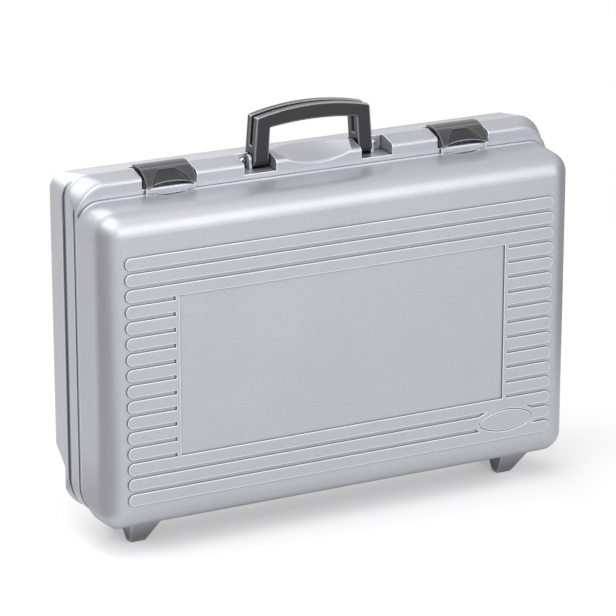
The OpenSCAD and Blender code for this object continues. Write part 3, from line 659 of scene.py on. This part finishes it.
# Cards: name, tone, middle, width, height, turn about the upright, lean
CARDS = (
    ("left_card", "#BCBCBC", (-0.48, -0.12, 0.25), 0.5, 0.56, -88, 0),
    ("right_card", "#A8A8A8", (0.55, 0.1, 0.2), 0.8, 0.5, 88, 0),
    ("low_card", "#DADADA", (0, 0, 0.003), 0.5, 0.09, 0, 90),
    ("floor_card", "#B0B0B0", (-0.42, -0.12, 0.003), 0.3, 0.5, 0, 90),
)
FIBRE_MM = 4
SENSOR_MM = 36
VIEW_END = 50


def soft_box(name, at, look_at, size, watts):
    """Adds a square soft box that points at the case."""
    data = bpy.data.lights.new(name, "AREA")
    data.energy = watts
    data.shape = "SQUARE"
    data.size = size
    lamp = bpy.data.objects.new(name, data)
    lamp.location = at
    aim = Vector(look_at) - Vector(at)
    lamp.rotation_euler = aim.to_track_quat("-Z", "Y").to_euler()
    bpy.context.scene.collection.objects.link(lamp)


def card_board(tone):
    """Grey board, matt: its fibres show as faint clouds of tone."""
    m = new_material("Grey card, matt board")
    grey = linear(tone)
    fibres = add_node(m, "ShaderNodeTexNoise", (-400, 0), {"Scale": 1 / (FIBRE_MM * MM)})
    cloudy = layered(m, shade(grey, 0.9), [(fibres, shade(grey, 1.1))], (-200, 300))
    paper = add_node(m, "ShaderNodeBsdfDiffuse", (0, 0), {"Color": cloudy})
    add_node(m, "ShaderNodeOutputMaterial", (900, 0), {"Surface": paper})
    return m


def grey_card(name, tone, at, width, height, turn, lean):
    """Puts up a card that only reflections see, so that the round corners show their form."""
    mesh = bpy.data.meshes.new(name)
    x, z = width / 2, height / 2
    mesh.from_pydata([(-x, 0, -z), (x, 0, -z), (x, 0, z), (-x, 0, z)], [], [(0, 1, 2, 3)])
    mesh.materials.append(card_board(tone))
    card = bpy.data.objects.new(name, mesh)
    card.location = at
    card.rotation_euler = (math.radians(lean), 0, math.radians(turn))
    bpy.context.scene.collection.objects.link(card)
    card.visible_camera = False
    card.visible_diffuse = False
    card.visible_shadow = False


def studio_world(room_level):
    """Even room light, and plain white wherever the camera or a reflection sees the room."""
    world = bpy.data.worlds.new("Studio")
    world.use_nodes = True
    world.node_tree.nodes.clear()
    room = add_node(world, "ShaderNodeBackground", (-400, -200),
                    {"Color": linear(WHITE), "Strength": room_level})
    white = add_node(world, "ShaderNodeBackground", (-400, -350), {"Color": linear(WHITE)})
    mix = add_node(world, "ShaderNodeMixShader", (-200, 0),
                   {0: seen_mask(world, -800, 0), 1: room, 2: white})
    add_node(world, "ShaderNodeOutputWorld", (0, 0), {"Surface": mix})
    return world


def floor_paint(colour):
    """Matt white paint, which keeps a light shadow near the case and runs out into white."""
    m = new_material("Studio floor, matt white paint")
    place = add_node(m, "ShaderNodeTexCoord", (-1000, 0)).outputs["Object"]
    reach = add_node(m, "ShaderNodeVectorMath", (-800, 0), {0: place}, operation="LENGTH")
    far = add_node(m, "ShaderNodeMapRange", (-600, 0),
                   {"From Min": PAINT_REACH[0], "From Max": PAINT_REACH[1],
                    "To Min": WHITE_LEAST, "To Max": 1.0, "Value": reach.outputs["Value"]},
                   interpolation_type="SMOOTHSTEP")
    share = overlap(m, (-200, -150), far, seen_mask(m, -800, -300))
    paint = add_node(m, "ShaderNodeBsdfDiffuse", (0, 0), {"Color": linear(colour)})
    white = add_node(m, "ShaderNodeEmission", (0, -150),
                     {"Color": linear(WHITE), "Strength": 1.0})
    mix = add_node(m, "ShaderNodeMixShader", (300, 0), {0: share, 1: paint, 2: white})
    add_node(m, "ShaderNodeOutputMaterial", (900, 0), {"Surface": mix})
    return m


def studio_floor(colour):
    """Lays a plain pale floor."""
    mesh = bpy.data.meshes.new("studio_floor")
    h = FLOOR_HALF
    mesh.from_pydata([(-h, -h, 0), (h, -h, 0), (h, h, 0), (-h, h, 0)], [], [(0, 1, 2, 3)])
    mesh.materials.append(floor_paint(colour))
    floor = bpy.data.objects.new("studio_floor", mesh)
    bpy.context.scene.collection.objects.link(floor)


def photo_camera(stage):
    """Puts the camera at the photo's angle."""
    data = bpy.data.cameras.new("photo_camera")
    data.sensor_width = SENSOR_MM
    data.lens = stage.lens_mm
    data.clip_end = VIEW_END
    camera = bpy.data.objects.new("photo_camera", data)
    camera.location = stage.camera_at
    camera.rotation_euler = (math.pi / 2 - stage.camera_pitch, 0, -stage.camera_yaw)
    bpy.context.scene.collection.objects.link(camera)
    bpy.context.scene.camera = camera


class CASE_OT_stage(bpy.types.Operator):
    """Set up the floor, the lamps, the cards, the world and the camera"""
    bl_idname = "case.stage"
    bl_label = "Studio"

    def execute(self, context):
        scene = context.scene
        stage = scene.case_stage
        scene.view_settings.view_transform = "Standard"
        scene.world = studio_world(stage.room_level)
        studio_floor(stage.floor_colour)
        soft_box("key_lamp", (0.55, -2.0, 1.05), CASE_MIDDLE, 1.7, stage.key_watts)
        soft_box("top_lamp", (-0.85, -0.55, 2.1), CASE_MIDDLE, 2.6, stage.top_watts)
        soft_box("back_lamp", (-0.2, 2.0, 1.3), CASE_MIDDLE, 1.3, stage.back_watts)
        soft_box("side_lamp", (-1.9, 0.3, 1.7), CASE_LOWER_MIDDLE, 1.2, stage.side_watts)
        for card in CARDS:
            grey_card(*card)
        photo_camera(stage)
        return {"FINISHED"}


class CASE_PT_panel(bpy.types.Panel):
    """Lists the case's pieces and the studio"""
    bl_idname = "CASE_PT_panel"
    bl_label = "Carrying case"
    bl_space_type = "VIEW_3D"
    bl_region_type = "UI"
    bl_category = "Case"

    def draw(self, context):
        column = self.layout.column()
        for operator in OPERATORS:
            column.operator(operator.bl_idname)


OPERATORS = (CASE_OT_stage, CASE_OT_shells, CASE_OT_handle, CASE_OT_latches, CASE_OT_pins)
CLASSES = (CaseStageSettings, CasePlasticSettings) + OPERATORS + (CASE_PT_panel,)


def register():
    """Registers the classes and hangs their settings on the scene."""
    for cls in CLASSES:
        bpy.utils.register_class(cls)
    bpy.types.Scene.case_stage = PointerProperty(type=CaseStageSettings)
    bpy.types.Scene.case_plastic = PointerProperty(type=CasePlasticSettings)


def unregister():
    """Takes the settings and the classes away again."""
    del bpy.types.Scene.case_plastic
    del bpy.types.Scene.case_stage
    for cls in reversed(CLASSES):
        bpy.utils.unregister_class(cls)


def main():
    """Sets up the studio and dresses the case."""
    register()
    bpy.ops.case.stage()
    bpy.ops.case.shells()
    bpy.ops.case.handle()
    bpy.ops.case.latches()
    bpy.ops.case.pins()


if __name__ == "__main__":
    main()
